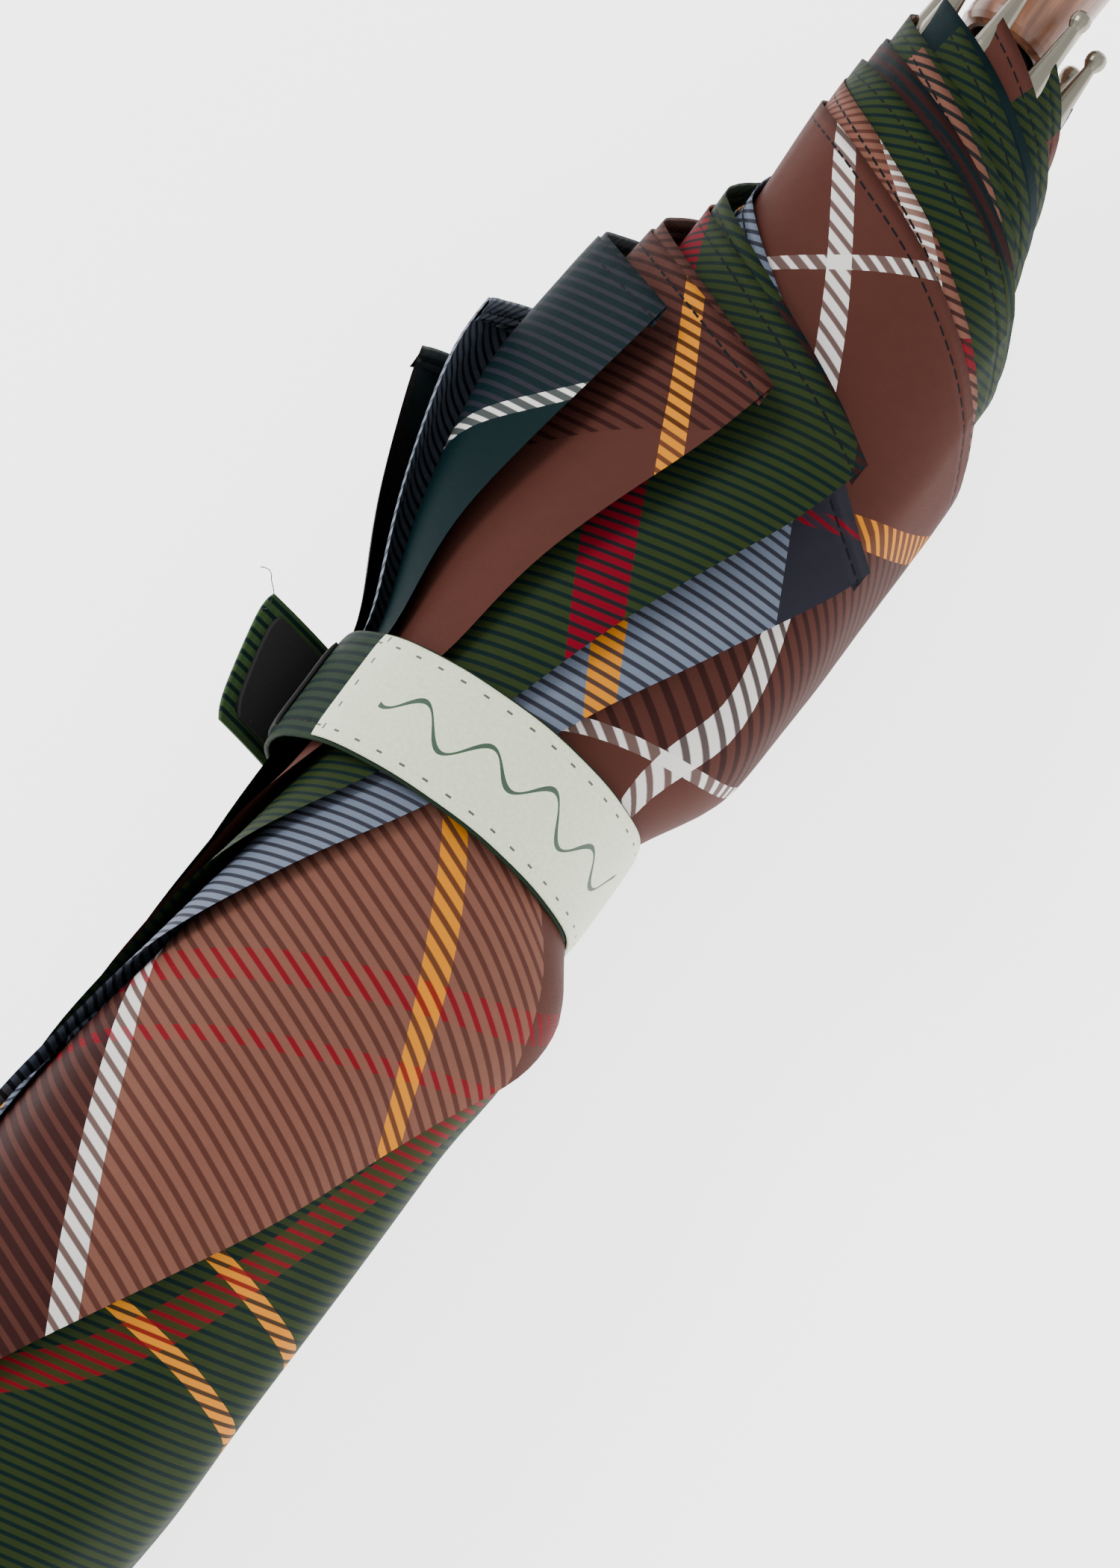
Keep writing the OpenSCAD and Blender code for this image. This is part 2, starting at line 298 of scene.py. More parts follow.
# one entry a panel: the ground and the lines along the first diagonal, then the second
PRINTS = [
    (([(-170, TEAL), (60, CHARCOAL), (190, TEAL), (330, CHARCOAL), (470, TEAL)],
      [(60, WHITE), (190, OCHRE), (372, WHITE), (470, RED)]),
     ([(-170, OLIVE), (80, SLATE), (210, OLIVE), (300, SLATE), (420, OLIVE)],
      [(80, RED), (95, RED), (210, OCHRE), (318, SLATE), (420, WHITE)])),
    (([(-170, BROWN), (70, ESPRESSO), (180, TEAL), (364, CHARCOAL), (480, TEAL)],
      [(70, OCHRE), (180, WHITE), (362, WHITE), (480, OCHRE)]),
     ([(-170, TAN), (90, BROWN), (200, TEAL), (440, OLIVE)],
      [(90, RED), (200, WHITE), (440, RED)])),
    (([(-170, TEAL), (60, BROWN), (366, ESPRESSO), (450, BROWN)],
      [(60, WHITE), (190, RED), (363, WHITE), (450, OCHRE), (560, RED)]),
     ([(-170, OLIVE), (90, BROWN)],
      [(90, OCHRE), (210, WHITE), (326, OCHRE), (438, WHITE)])),
    (([(-170, CHARCOAL), (60, TEAL), (376, DARK_TEAL), (440, TEAL)],
      [(60, WHITE), (190, OCHRE), (440, OCHRE)]),
     ([(-170, SLATE), (90, OLIVE), (338, ESPRESSO), (372, OLIVE)],
      [(90, OCHRE), (230, WHITE), (309, RED), (440, RED)])),
    (([(-170, BROWN), (60, ESPRESSO), (170, CHARCOAL), (430, CHARCOAL)],
      [(60, WHITE), (170, RED), (374, RED), (490, WHITE)]),
     ([(-170, TAN), (90, BROWN), (200, SLATE), (323, CHARCOAL), (365, SLATE)],
      [(90, OCHRE), (200, WHITE), (304, OCHRE), (440, RED)])),
    (([(-170, TEAL), (60, ESPRESSO), (190, BROWN), (348, ESPRESSO), (404, BROWN)],
      [(60, OCHRE), (150, WHITE), (279, RED), (293, RED), (347, WHITE), (404, OCHRE),
       (456, WHITE)]),
     ([(-170, OLIVE), (70, BROWN), (150, ESPRESSO), (222, TAN), (272, BROWN), (380, TAN)],
      [(70, WHITE), (222, WHITE), (256, OCHRE), (286, WHITE), (420, RED)])),
    (([(-170, CHARCOAL), (30, TEAL), (420, TEAL), (520, BROWN)],
      [(30, WHITE), (160, OCHRE), (269, RED), (430, OCHRE), (522, RED)]),
     ([(-170, SLATE), (40, OLIVE), (340, OLIVE), (420, ESPRESSO)],
      [(40, WHITE), (100, RED), (168, OCHRE), (184, OCHRE), (300, RED), (420, WHITE)])),
    (([(-170, ESPRESSO), (60, TEAL), (200, TEAL), (440, BROWN)],
      [(60, OCHRE), (200, WHITE), (380, OCHRE), (505, RED), (520, RED)]),
     ([(-170, BROWN), (90, TEAL), (250, ESPRESSO), (340, TEAL), (430, TAN)],
      [(90, WHITE), (240, OCHRE), (292, WHITE), (440, RED)])),
]
# how far each panel's print and its hatching are turned in the flat cloth, in degrees
PRINT_TURNS = [0, -8, -8, -8, -8, -6, 40, 0]
HATCH_TURNS = [0, -8, -8, 12, 5, -24, 21, 0]


def metal_material(name, colour, rough, wear=0.06):
    """Plated metal with a fine grain and wide faint patches."""
    m = Shader(name, rough=rough, metal=1.0)
    where = m.objects()
    fine = m.noise(where, 900.0, 3.0, 0.6)
    wide = m.noise(where, 60.0, 3.0, 0.6)
    m.colour(m.ramp(wide, [(0.2, tuple(c * 0.82 for c in colour)), (0.8, colour)]))
    value = m.math("ADD", m.math("MULTIPLY", fine, wear * 2), rough - wear)
    m.set(m.main.inputs["Roughness"], value)
    m.bump(fine, 0.06, 0.0002)
    return m.material


def wood_material():
    """Varnished wood with its grain along the shaft."""
    m = Shader("varnished_wood", rough=0.34, Coat_Weight=0.35, Coat_Roughness=0.2)
    where = m.objects()
    stretch = m.node("ShaderNodeMapping")
    m.set(stretch.inputs["Vector"], where)
    stretch.inputs["Scale"].default_value = (9, 110, 110)
    broad = m.noise(stretch.outputs[0], 1.0, 5.0, 0.6)
    fine = m.noise(stretch.outputs[0], 6.0, 3.0, 0.7)
    rings = m.math("SINE", m.math("MULTIPLY", broad, 34.0))
    rings = m.math("ADD", m.math("MULTIPLY", rings, 0.22), m.math("MULTIPLY", fine, 0.8))
    colour = m.ramp(
        rings,
        [(0.05, rgb(84, 50, 34)), (0.45, rgb(122, 78, 55)), (0.95, rgb(150, 102, 74))],
    )
    m.colour(colour)
    m.bump(rings, 0.10, 0.0003)
    return m.material


def plastic_material():
    m = Shader("black_plastic", rough=0.45)
    grain = m.noise(m.objects(), 700.0, 3.0)
    m.colour(m.ramp(grain, [(0.3, rgb(20, 20, 21)), (0.8, rgb(34, 34, 35))]))
    m.bump(grain, 0.1, 0.0002)
    return m.material


def label_material():
    """Cream woven damask with a stitched border and a plain wavy line, no lettering."""
    m = Shader("woven_label", rough=0.55, Sheen_Weight=0.15)
    u, v, flat = m.uv("cloth")
    weave = m.math("MULTIPLY", m.wave(u, 0.34), m.wave(v, 0.28))
    cream = m.ramp(
        m.math("ADD", m.math("MULTIPLY", weave, 0.35), m.noise(flat, 1.2, 3.0)),
        [(0.1, rgb(202, 210, 178)), (0.9, rgb(232, 238, 206))],
    )
    # the wavy line swells and thins like a brush stroke
    wave = m.math("ADD", m.math("MULTIPLY", m.wave(u, 13.0), 2.6), m.wave(u, 31.0))
    away = m.math("ABSOLUTE", m.math("SUBTRACT", v, wave))
    wide = m.math("MULTIPLY", m.wave(u, 6.5), 0.14)
    inked = m.math("LESS_THAN", away, m.math("ADD", wide, 0.42))
    within = m.math("LESS_THAN", m.math("ABSOLUTE", m.math("SUBTRACT", u, 38.0)), 29.0)
    inked = m.math("MULTIPLY", inked, within)
    # stitches round the border
    along, inside, _ = m.uv("hem")
    line = m.math("LESS_THAN", m.math("ABSOLUTE", m.math("SUBTRACT", inside, 1.9)), 0.2)
    dash = m.math("LESS_THAN", m.math("FRACT", m.math("DIVIDE", along, 4.6)), 0.24)
    stitch = m.math("MULTIPLY", line, dash)
    end = m.math("LESS_THAN", m.math("ABSOLUTE", m.math("SUBTRACT", along, 2.0)), 0.2)
    up = m.math("LESS_THAN", m.math("FRACT", m.math("DIVIDE", v, 4.6)), 0.24)
    stitch = m.math("MAXIMUM", stitch, m.math("MULTIPLY", end, up))
    ground = m.mix(inked, cream, (*rgb(34, 66, 42), 1))
    m.colour(m.mix(stitch, ground, (*rgb(62, 72, 56), 1)))
    raised = m.math("ADD", m.math("MULTIPLY", inked, 1.2), m.math("MULTIPLY", weave, 0.5))
    m.bump(m.math("SUBTRACT", raised, line), 0.35, 0.0003)
    return m.material


def thread_material(name, colour):
    """Matt fibre, for pile and for loose threads."""
    m = Shader(name, rough=0.85)
    fibre = m.noise(m.objects(), 2500.0, 2.0)
    m.colour(m.ramp(fibre, [(0.2, tuple(c * 0.6 for c in colour)), (0.8, colour)]))
    m.bump(fibre, 0.3, 0.0002)
    return m.material


STEEL = metal_material("gunmetal_steel", rgb(128, 124, 112), 0.32)
DARK_STEEL = metal_material("dark_steel", rgb(84, 82, 78), 0.36)
BRIGHT = metal_material("bright_steel", rgb(176, 174, 170), 0.28)
WOOD = wood_material()
PLASTIC = plastic_material()
LABEL = label_material()
BLACK_PILE = thread_material("black_pile", rgb(7, 7, 8))
DARK_THREAD = thread_material("dark_thread", rgb(22, 26, 26))

# ---------- shapes made from grids ----------


def smooth(obj):
    obj.data.polygons.foreach_set("use_smooth", np.ones(len(obj.data.polygons), bool))


def add_object(name, mesh, material):
    mesh.materials.append(material)
    obj = bpy.data.objects.new(name, mesh)
    bpy.context.scene.collection.objects.link(obj)
    return obj


def thicken(obj, thick, offset):
    solid = obj.modifiers.new("thickness", "SOLIDIFY")
    solid.thickness = thick
    solid.offset = offset


def grid_object(name, points, maps, material):
    """A sheet from points[row, column], with maps of name to (rows, columns, 2) values."""
    rows, columns = points.shape[:2]
    mesh = bpy.data.meshes.new(name)
    index = np.arange(rows * columns).reshape(rows, columns)
    faces = np.stack([index[:-1, :-1], index[:-1, 1:], index[1:, 1:], index[1:, :-1]], -1)
    mesh.from_pydata(points.reshape(-1, 3).tolist(), [], faces.reshape(-1, 4).tolist())
    corners = faces.reshape(-1)
    for key, values in maps.items():
        layer = mesh.uv_layers.new(name=key)
        layer.data.foreach_set("uv", values.reshape(-1, 2)[corners].astype(np.float32).ravel())
    obj = add_object(name, mesh, material)
    smooth(obj)
    return obj


# ---------- the furled canopy ----------

# radius that the folds reach at the left, top, right and bottom
ROOM_LEFT = curve([(-6, 9), (0, 12.6), (20, 14.5), (100, 18), (200, 24), (300, 30), (331, 30.8),
                   (364, 29.3), (408, 28.4), (436, 28.6), (455, 39), (484, 51), (510, 50),
                   (560, 40), (592, 28)], 5)
ROOM_TOP = curve([(-6, 9), (0, 12.6), (20, 14.5), (100, 18), (200, 24), (300, 32), (340, 34),
                  (395, 31), (410, 28.6), (436, 28.6), (455, 37), (484, 44), (515, 46),
                  (560, 40), (592, 28)], 5)
ROOM_RIGHT = curve([(-6, 9), (0, 12.6), (20, 14.5), (100, 18), (200, 24), (300, 35), (375, 35.5),
                    (390, 38), (404, 37), (414, 28.6), (434, 28.8), (451, 40), (477, 43),
                    (515, 44), (560, 40), (592, 28)], 4)
ROOM_BOTTOM = curve([(-6, 9), (0, 12.6), (20, 14.5), (100, 19), (200, 28), (300, 38), (390, 36),
                     (410, 28.6), (436, 28.6), (455, 38), (484, 43), (560, 42), (592, 28)], 5)
# radius of the cloth's seam on the rib
SEAM = curve([(-6, 8.4), (0, 12.2), (10, 13.1), (430, 13.1), (575, 16.0), (600, 16.4)], 2)
# how far round the shaft each panel is wrapped, in degrees from its rib to its fold
WRAP_AT = [-6, 30, 100, 280, 339, 374, 412, 434, 484, 514, 600]
WRAPS = [
    [12, 60, 125, 300, 318, 350, 378, 390, 398, 404, 410],
    [12, 60, 125, 275, 287, 323, 349, 361, 387, 395, 400],
    [12, 60, 125, 245, 256, 292, 322, 342, 371, 380, 385],
    [12, 60, 125, 215, 225, 261, 303, 325, 352, 363, 370],
    [12, 60, 125, 180, 198, 238, 278, 298, 330, 345, 355],
    [12, 60, 125, 213, 266, 297, 330, 350, 385, 400, 430],
    [12, 60, 125, 320, 355, 380, 405, 415, 435, 445, 460],
    [12, 60, 125, 315, 345, 380, 405, 420, 425, 427, 435],
]
WRAP = [curve(list(zip(WRAP_AT, turns)), 5) for turns in WRAPS]
# above 1 the outer part of the wrap stands away from the inner part
LOOSE = curve([(0, 1), (300, 1.25), (380, 1.2), (412, 1), (434, 1), (484, 1.9), (520, 1.9),
               (570, 1.1), (600, 1)], 8)
# uneven lumps of the whole roll
LUMPS = curve([(-6, 0), (60, 0.25), (280, 0.7), (395, 0.6), (410, 0.08), (436, 0.08),
               (470, 0.9), (600, 0.7)], 6)


def room(azimuth, s):
    """The radius that the roll reaches at an azimuth."""
    a = np.radians(azimuth)
    side, rise = np.cos(a), np.sin(a)
    left = np.where(side > 0, side**2, 0) * ROOM_LEFT(s)
    right = np.where(side < 0, side**2, 0) * ROOM_RIGHT(s)
    top = np.where(rise > 0, rise**2, 0) * ROOM_TOP(s)
    bottom = np.where(rise < 0, rise**2, 0) * ROOM_BOTTOM(s)
    lumps = np.sin(3 * a + s / 37) + 0.7 * np.sin(5 * a - s / 23 + 1) + 0.5 * np.sin(9 * a + s / 61)
    return left + right + top + bottom + LUMPS(s) * lumps


def fold(number, s):
    """Azimuth of a panel's fold; numbers beyond 8 are the same panels a turn further on."""
    return WRAP[(number - 1) % RIBS](s) + STEP * (number - 1)


def evened(azimuth, s):
    """An azimuth after the folds at that height have been spread out evenly."""
    total = 0.0
    for number in range(-10, 18):
        low, high = fold(number, s), fold(number + 1, s)
        total = total + STEP * np.clip((azimuth - low) / (high - low), 0, 1)
    return total


def wrapped(number, azimuth, s):
    """Radius of a panel's outer layer at an azimuth between its rib and its fold."""
    rib = STEP * (number - 1)
    start = evened(rib, s)
    share = (evened(azimuth, s) - start) / (evened(fold(number, s), s) - start)
    share = np.clip(share, 0, 1)
    outer = room(azimuth, s)
    r = SEAM(s) + (outer - SEAM(s)) * share ** LOOSE(s)
    depth = -r * np.sin(np.radians(azimuth))
    floor = AXIS_Z * 1000 - 0.7 - 4 * (1 - share)
    return np.where(depth > floor, r * floor / np.maximum(depth, 1e-6), r)


COLUMNS = 130
ROWS = 170
# where the hem meets the ribs, and where it meets each panel's fold: not all are gathered alike
CROWN = -6.0
RIB_HEM = 590.0
FOLD_HEMS = [490, 501, 499, 500, 489, 500, 498, 482]
# the two layers of a fold lie a cloth's thickness apart
FOLD_GAP = 0.45
# how far each half panel doubles back on itself inside the roll, in degrees, left and right
PLEATS = [(0, 55), (30, 75), (50, 95), (60, 110), (85, 140), (30, 70), (0, 0), (0, 30)]
# the pleats lie along the covered part of the roll and open out towards both ends
PLEATED = curve([(15, 0), (60, 1), (440, 1), (472, 0), (600, 0)], 4)


def leaf_points(panel, right):
    """Grid of one half panel, and its cloth and hem maps. Column 0 is the seam on the rib."""
    first = STEP * (panel if right else panel - 1)
    across = np.linspace(0, 1, COLUMNS)[None, :]
    down = np.linspace(0, 1, ROWS)[:, None] ** 0.85
    hem = np.full((1, COLUMNS), 550.0)
    for _ in range(4):
        s = CROWN + down * (hem - CROWN)
        azimuth = first + across * (fold(panel, s) - first)
        doubled = np.interp(across, [0.05, 0.17, 0.27, 1], [0, 1, 0, 0])
        azimuth = azimuth + PLEATS[panel - 1][int(right)] * PLEATED(s) * doubled
        r = wrapped(panel, azimuth, s)
        if not right and PLEATS[panel - 1][0]:
            under = np.interp(across, [0, 0.05, 0.17, 0.27, 0.34, 1], [0, 0.6, 0.75, 0.4, 0, 0])
            r = r - under * PLEATED(s)
        if right:
            inner = wrapped(panel + 1, azimuth, s)
            join = 1 - (1 - across) ** 2.2
            r = inner + (r - inner) * join
            r = r - FOLD_GAP * np.clip((fold(panel, s) - azimuth) / 3, 0, 1)
        a = np.radians(azimuth)
        flat = np.stack([r * np.cos(a), r * np.sin(a)], -1)
        steps = np.linalg.norm(np.diff(flat, axis=1), axis=-1)
        length = np.concatenate([np.zeros((ROWS, 1)), np.cumsum(steps, axis=1)], axis=1)
        share = length / length[:, -1:]
        drop = RIB_HEM - FOLD_HEMS[panel - 1]
        rise = share[-1:]
        hem = RIB_HEM - drop * (0.8 * rise + 0.2 * (1 - (1 - rise) ** 2))
    side = -1 if right else 1
    cloth = np.stack([side * (length[:, -1:] - length), np.broadcast_to(s, length.shape)], -1)
    hem_way = np.broadcast_to(length[-1:], length.shape)
    hem_map = np.stack([hem_way, hem - s], -1)
    return s, r, azimuth, share, cloth, hem_map


def open_limit(joint):
    return math.radians(max(joint["range_deg"], key=abs))


def final_matrices(joint):
    """(turn, shift) of a hinge at its open limit."""
    angle = open_limit(joint)
    n = np.array(joint["axis"], float)
    n /= np.linalg.norm(n)
    p = np.array(joint["pos_m"], float)
    skew = np.array([[0, -n[2], n[1]], [n[2], 0, -n[0]], [-n[1], n[0], 0]])
    turn = np.eye(3) + math.sin(angle) * skew + (1 - math.cos(angle)) * skew @ skew
    return turn, p - turn @ p


def turned_share(points, joint, share):
    """Points after a share of a hinge's full turn, one share for each point."""
    n = np.array(joint["axis"], float)
    n /= np.linalg.norm(n)
    p = points - np.array(joint["pos_m"], float)
    angle = share * open_limit(joint)
    c, d = np.cos(angle)[:, None], np.sin(angle)[:, None]
    return joint["pos_m"] + p * c + np.cross(n, p) * d + n * (p @ n)[:, None] * (1 - c)


JOINT_OF = {joint["child"]: joint for joint in FRAME["joints"]}


def spread_weights(points, share, panel, rib, body):
    """Weights that lay the cloth evenly between its rib and the panel's middle when open."""
    middle = math.radians(STEP * (panel - 0.5))
    tangent = np.array([0, -math.sin(middle), math.cos(middle)])
    rib_turn, rib_shift = final_matrices(JOINT_OF[rib])
    flat = points.reshape(-1, 3)

    def tangential(weights):
        moved = turned_share(flat, JOINT_OF[body], weights)
        return (moved @ rib_turn.T + rib_shift) @ tangent

    rows, columns = points.shape[:2]
    at_rib = tangential(np.zeros(len(flat))).reshape(rows, columns)[:, :1]
    at_fold = tangential(np.ones(len(flat))).reshape(rows, columns)[:, -1:]
    wanted = (at_rib + (at_fold - at_rib) * share).ravel()
    way = np.sign(at_fold - at_rib).mean()
    low, high = np.zeros(len(flat)), np.ones(len(flat))
    for _ in range(18):
        middle_weight = (low + high) / 2
        short = (tangential(middle_weight) - wanted) * way < 0
        low = np.where(short, middle_weight, low)
        high = np.where(short, high, middle_weight)
    weights = ((low + high) / 2).reshape(rows, columns)
    weights[:, 0] = 0
    weights[:, -1] = 1
    return weights


# the hem is turned under: how far back along the shaft, and how far inside the cloth
TURNED_HEM = [(0.5, 0.35), (3.4, 0.5), (4.4, 0.45)]

for panel in range(1, RIBS + 1):
    turns = PRINT_TURNS[panel - 1], HATCH_TURNS[panel - 1]
    cloth = cloth_material(f"tartan_{panel}", *PRINTS[panel - 1], *turns)
    for side in ("left", "right"):
        s, r, azimuth, share, flat_map, hem_map = leaf_points(panel, side == "right")
        for inward, under in TURNED_HEM:
            s = np.concatenate([s, s[ROWS - 1 : ROWS] - inward])
            r = np.concatenate([r, r[ROWS - 1 : ROWS] - under])
            azimuth = np.concatenate([azimuth, azimuth[ROWS - 1 : ROWS]])
            share = np.concatenate([share, share[ROWS - 1 : ROWS]])
            last = flat_map[ROWS - 1 : ROWS].copy()
            last[..., 1] += inward
            flat_map = np.concatenate([flat_map, last])
            last = hem_map[ROWS - 1 : ROWS].copy()
            last[..., 1] += inward
            hem_map = np.concatenate([hem_map, last])
        points = place(s, r, azimuth)
        name = f"cloth_{panel}_{side}"
        obj = grid_object(name, points, {"cloth": flat_map, "hem": hem_map}, cloth)
        body = f"panel_{panel}_{side}"
        rib = f"rib_{panel if side == 'left' else panel % RIBS + 1}"
        weights = spread_weights(points, share, panel, rib, body)
        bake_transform(obj)
        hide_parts(body)

# ---------- the CAD pieces that show as they are ----------

LOOKS = {"shaft": DARK_STEEL, "ferrule": DARK_STEEL, "crown_cap": DARK_STEEL, "notch": DARK_STEEL,
         "runner": PLASTIC, "handle": WOOD, "cross_pins": BRIGHT, "notch_wire": BRIGHT,
         "runner_wire": BRIGHT, "top_catch": BRIGHT, "bottom_catch": BRIGHT}
for name, node in FRAME["nodes"].items():
    look = LOOKS.get(name)
    if name.startswith(("rib_", "stretcher_")):
        look = STEEL
    if look is None:
        continue
    node.data.materials.clear()
    node.data.materials.append(look)
    smooth(node)
    node.data.set_sharp_from_angle(angle=math.radians(32))

# ---------- strap, label, patches ----------

STRAP_R = 29.9


def band(name, radius, wide, first, last, material, thick, columns=120, rows=13):
    """A strip round the roll between two azimuths, with its edges eased inwards."""
    azimuth = np.linspace(first, last, columns)[None, :]
    across = np.linspace(-1, 1, rows)[:, None]
    across = np.sign(across) * (1 - (1 - np.abs(across)) ** 1.7)
    s = STRAP_AT + across * wide / 2
    wave = 0.16 * np.sin(np.radians(azimuth) * 7) + 0.10 * np.sin(np.radians(azimuth) * 13 + 1)
    r = radius + wave * np.abs(across) - 0.35 * np.abs(across) ** 8
    points = place(s + 0 * azimuth, r, azimuth + 0 * s)
    along = np.radians(azimuth - first) * radius + 0 * s
    cloth = np.stack([along, s - STRAP_AT + 0 * along], -1)
    edge = np.stack([along, wide / 2 - np.abs(s - STRAP_AT) + 0 * along], -1)
    obj = grid_object(name, points, {"cloth": cloth, "hem": edge}, material)
    thicken(obj, thick, -1)
    return obj


strap_print = ([(-170, DARK_TEAL)], []), ([(-170, rgb(34, 46, 34))], [])
strap_cloth = cloth_material("strap_tartan", *strap_print)
tab_print = ([(-170, TEAL)], []), ([(-170, rgb(50, 70, 40))], [])
tab_cloth = cloth_material("tab_tartan", *tab_print)

front = band("strap_front_cloth", STRAP_R + 0.7, 22.2, -8, 199, strap_cloth, 0.0008)
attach(front, "strap_front")
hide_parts("strap_front")
back = band("strap_back_cloth", STRAP_R + 0.7, 22.4, 199, 335, strap_cloth, 0.0008)
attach(back, "strap_back")
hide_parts("strap_back")
label = band("label_woven", STRAP_R + 1.4, 21.2, 50, 192, LABEL, 0.0004)
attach(label, "strap_front")
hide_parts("label")
loops = band("loop_pile", STRAP_R + 1.5, 17.6, -6, 20, BLACK_PILE, 0.0006, columns=40)
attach(loops, "strap_front")
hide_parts("loop_patch")


TAB_LONG = 28.0


def tab_strip(name, lift, thick, first, last, wide, material, lean, columns=60, rows=25):
    """A strip along the curled free end, between two distances from its root."""
    path = np.linspace(0, TAB_LONG, 200)
    heading = np.radians(61 - 26 * (path / TAB_LONG) ** 0.8)
    step = path[1]
    root = place(0, STRAP_R, 333)[1:]
    y = root[0] * 1000 + np.concatenate([[0], np.cumsum(np.cos(heading[:-1]) * step)])
    z = root[1] * 1000 + np.concatenate([[0], np.cumsum(np.sin(heading[:-1]) * step)])
    across = np.linspace(-1, 1, rows)[:, None]
    end = last - lean * (1 - across) / 2 - 1.2 * np.abs(across) ** 6
    t = first + np.linspace(0, 1, columns)[None, :] * (end - first)
    turn = np.interp(t, path, heading)
    cup = 0.9 * (across**2) * (t / TAB_LONG) ** 1.5
    out = lift - cup
    mid_y = np.interp(t, path, y) + out * np.sin(turn)
    mid_z = np.interp(t, path, z) - out * np.cos(turn)
    x = (PIVOT_X * 1000 + STRAP_AT) + across * wide / 2 + 0 * t
    points = np.stack([x, mid_y, mid_z], -1) / 1000
    flat = np.stack([t, across * wide / 2 + 0 * t], -1)
    edge = np.minimum(wide / 2 * (1 - np.abs(across)), end - t)
    hem = np.stack([t + across * wide / 2, edge + 0 * t], -1)
    obj = grid_object(name, points, {"cloth": flat, "hem": hem}, material)
    thicken(obj, thick / 1000, 0)
    return obj, points


tab, tab_points = tab_strip("strap_tab_cloth", 0, 0.9, 0, 27.6, 22.4, tab_cloth, 6.0)
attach(tab, "strap_tab")
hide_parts("strap_tab")
pile, pile_points = tab_strip("hook_pile", -0.9, 0.9, 3.5, 24.5, 17.6, BLACK_PILE, 5.0)
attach(pile, "strap_tab")
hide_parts("hook_patch")


def bristles(name, points, count, length, seed, body, material):
    """Short curved hooks that stand on the inner face of a strip."""
    rng = np.random.default_rng(seed)
    rows, columns = points.shape[:2]
    verts, faces = [], []
    for _ in range(count):
        i = rng.integers(1, rows - 1)
        j = rng.integers(1, columns - 1)
        base = points[i, j] + (points[i + 1, j] - points[i, j]) * rng.random()
        base = base + (points[i, j + 1] - points[i, j]) * rng.random()
        normal = np.cross(points[i + 1, j] - points[i, j], points[i, j + 1] - points[i, j])
        normal = -normal / np.linalg.norm(normal)
        lean = rng.normal(0, 0.45, 3)
        side = rng.normal(0, 1, 3)
        side = side / np.linalg.norm(side) * 0.00007
        rise = (normal + lean) * length * rng.uniform(0.7, 1.4)
        start = len(verts)
        bent = base + rise + rng.normal(0, 0.25, 3) * length
        verts += [base - side, base + side, base + rise * 0.6 + side, base + rise * 0.6 - side,
                  bent]
        faces += [(start, start + 1, start + 2, start + 3), (start + 3, start + 2, start + 4)]
    mesh = bpy.data.meshes.new(name)
    mesh.from_pydata([tuple(v) for v in verts], [], faces)
    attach(add_object(name, mesh, material), body)


bristles("hook_bristles", pile_points, 4200, 0.0016, 3, "strap_tab", BLACK_PILE)

THREAD_STEPS = 7
THREAD_SIDES = 5


def loose_thread(name, start, way, length, seed, body):
    """A short frayed thread at the tab's cut end."""
    rng = np.random.default_rng(seed)
    points = [np.array(start)]
    way = np.array(way) / np.linalg.norm(way)
    for _ in range(THREAD_STEPS):
        way = way + rng.normal(0, 0.3, 3)
        way = way / np.linalg.norm(way)
        points.append(points[-1] + way * length / THREAD_STEPS)
    points = np.array(points)
    verts, faces = [], []
    for k, point in enumerate(points):
        ahead = points[min(k + 1, THREAD_STEPS)] - points[max(k - 1, 0)]
        one = np.cross(ahead, [0.3, 0.5, 0.8])
        one = one / np.linalg.norm(one)
        two = np.cross(ahead, one)
        two = two / np.linalg.norm(two)
        for turn in range(THREAD_SIDES):
            angle = turn * 2 * math.pi / THREAD_SIDES
            verts.append(point + 0.00009 * (one * math.cos(angle) + two * math.sin(angle)))
    for k in range(THREAD_STEPS):
        for turn in range(THREAD_SIDES):
            after = (turn + 1) % THREAD_SIDES
            here, ahead = k * THREAD_SIDES, (k + 1) * THREAD_SIDES
            faces.append((here + turn, here + after, ahead + after, ahead + turn))
    mesh = bpy.data.meshes.new(name)
    mesh.from_pydata([tuple(v) for v in verts], [], faces)
    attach(add_object(name, mesh, DARK_THREAD), body)


loose_thread("tab_thread_1", tab_points[24, -1], (0.5, 0.6, 0.3), 0.006, 5, "strap_tab")
loose_thread("tab_thread_2", tab_points[20, -1], (0.6, 0.2, 0.5), 0.004, 8, "strap_tab")

# ---------- cloth rosette under the crown's cap ----------

ROSETTE_HOLE, ROSETTE_EDGE = 5.1, 13.4
ROSETTE_RUFFLES = 16


def rosette_disc():
    """A ruffled disc with a hole, its edge scalloped by the ruffles."""
    turn = np.linspace(0, 360, 97)[None, :]
    out = np.linspace(ROSETTE_HOLE, ROSETTE_EDGE, 9)[:, None]
    wave = np.sin(np.radians(turn * ROSETTE_RUFFLES))
    ruffle = 0.35 * wave * ((out - ROSETTE_HOLE) / (ROSETTE_EDGE - ROSETTE_HOLE)) ** 2
    r = out * (1 + 0.02 * wave * (out / ROSETTE_EDGE) ** 4)
    a = np.radians(turn)
    flat = np.stack([r * np.cos(a), r * np.sin(a)], -1)
    hem = np.stack([a * ROSETTE_EDGE + 0 * out, ROSETTE_EDGE - out + 0 * turn], -1)
    points = place(-5.9 + ruffle, r, turn + 0 * out)
    return grid_object("rosette_cloth", points, {"cloth": flat, "hem": hem}, tab_cloth)


rosette = rosette_disc()
thicken(rosette, 0.0005, -1)
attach(rosette, "shaft")
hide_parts("crown_rosette")

# ---------- surface, light and camera ----------

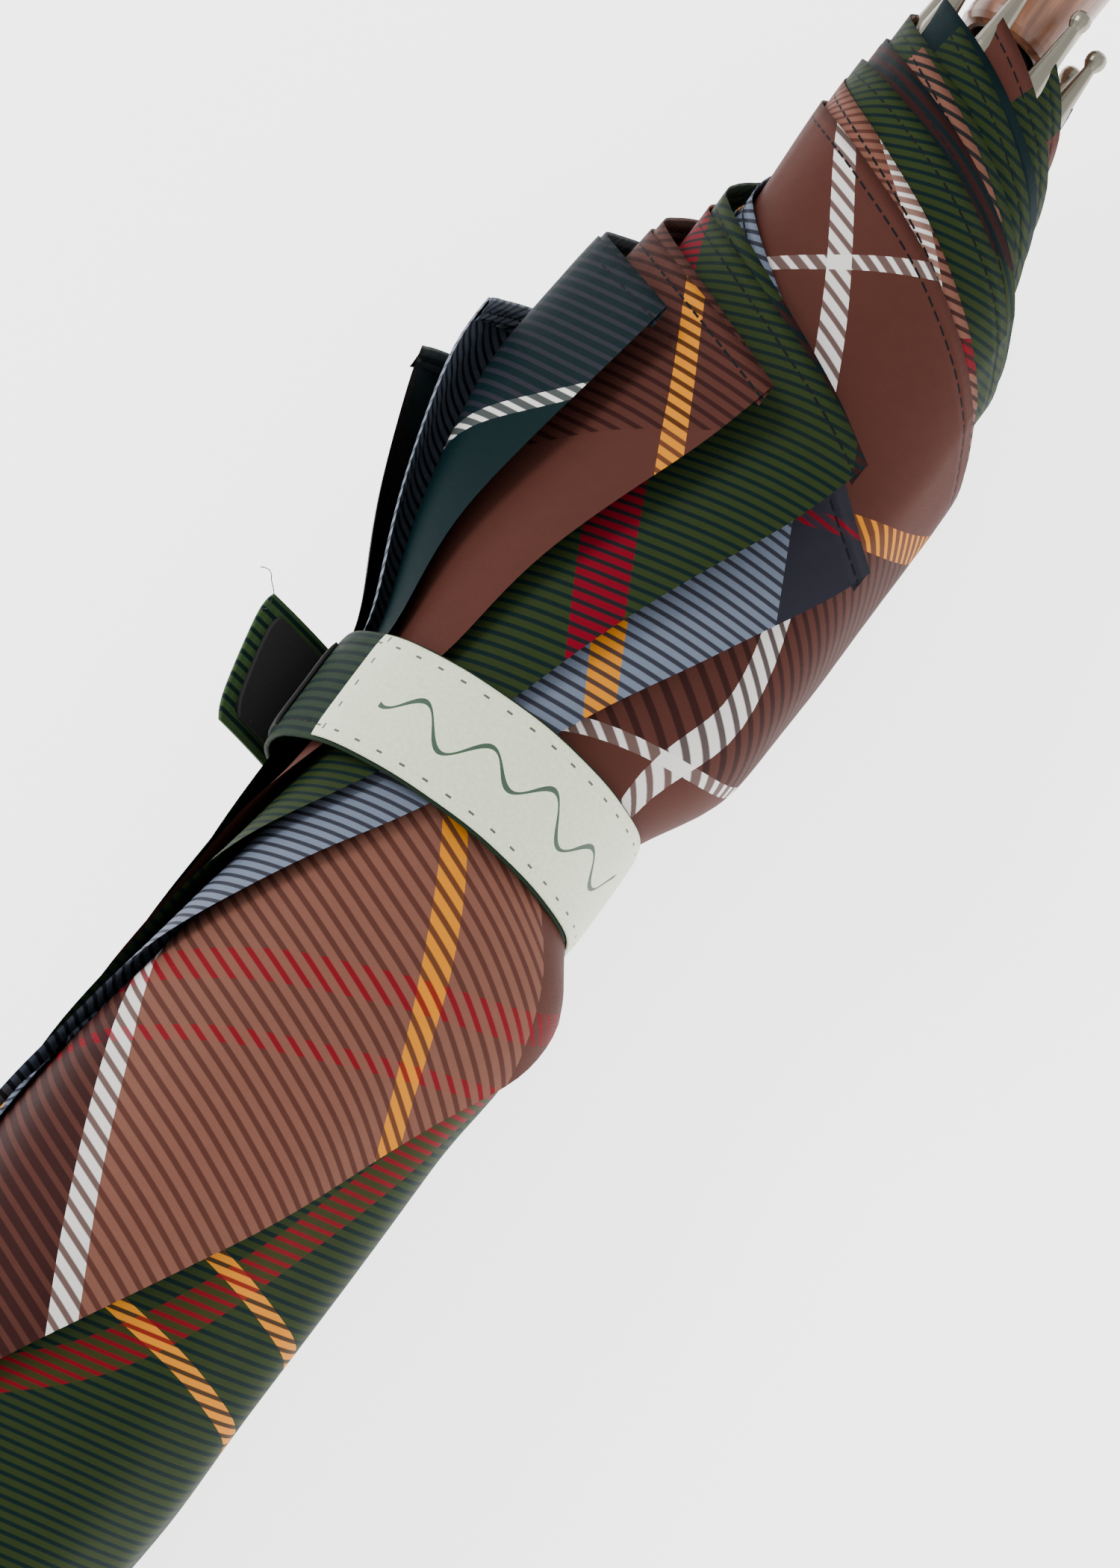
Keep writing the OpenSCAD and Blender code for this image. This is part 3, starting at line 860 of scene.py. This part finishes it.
floor_material = Shader("studio_floor", rough=0.9, Emission_Strength=2.5)
floor_material.main.inputs["Emission Color"].default_value = (1, 1, 1, 1)
floor_material.colour((0.86, 0.86, 0.86, 1))
bpy.ops.mesh.primitive_plane_add(size=12, location=(0, 0, 0))
floor = bpy.context.object
floor.name = "studio_floor"
floor.data.materials.append(floor_material.material)

world = bpy.data.worlds.new("studio")
bpy.context.scene.world = world
world.use_nodes = True
world.node_tree.nodes["Background"].inputs["Color"].default_value = (1, 1, 1, 1)
world.node_tree.nodes["Background"].inputs["Strength"].default_value = 1.35


def softbox(name, place_m, aim_m, size, power):
    light = bpy.data.lights.new(name, "AREA")
    light.shape = "DISK"
    light.size = size
    light.energy = power
    obj = bpy.data.objects.new(name, light)
    bpy.context.scene.collection.objects.link(obj)
    way = np.array(aim_m) - np.array(place_m)
    obj.location = place_m
    obj.rotation_mode = "QUATERNION"
    obj.rotation_quaternion = Vector(way).to_track_quat("-Z", "Y")


AIM = np.array([PIVOT_X + 0.43, AXIS_Y, 0.06])
TURN = math.radians(34.55)
UP = np.array([math.cos(TURN), math.sin(TURN), 0])
RIGHT = np.array([math.sin(TURN), -math.cos(TURN), 0])
softbox("key", AIM + UP * 0.9 - RIGHT * 0.9 + np.array([0, 0, 1.5]), AIM, 0.9, 26)
softbox("fill", AIM - UP * 1.2 + RIGHT * 0.9 + np.array([0, 0, 1.6]), AIM, 1.4, 6)

TILT = math.radians(20)
DISTANCE = 0.90
LENS = 123.7
# the middle of the view, near the strap
look_at = np.array([PIVOT_X + 0.430, AXIS_Y, AXIS_Z]) + RIGHT * 0.0142 - UP * 0.0033
forward = UP * math.sin(TILT) - np.array([0, 0, math.cos(TILT)])
eye = look_at - forward * DISTANCE
camera_data = bpy.data.cameras.new("camera")
camera_data.lens = LENS
camera_data.sensor_fit = "VERTICAL"
camera_data.sensor_height = 36
camera = bpy.data.objects.new("camera", camera_data)
bpy.context.scene.collection.objects.link(camera)
up = np.cross(RIGHT, forward)
camera.matrix_world = Matrix(
    [
        [RIGHT[0], up[0], -forward[0], eye[0]],
        [RIGHT[1], up[1], -forward[1], eye[1]],
        [RIGHT[2], up[2], -forward[2], eye[2]],
        [0, 0, 0, 1],
    ]
)
bpy.context.scene.camera = camera
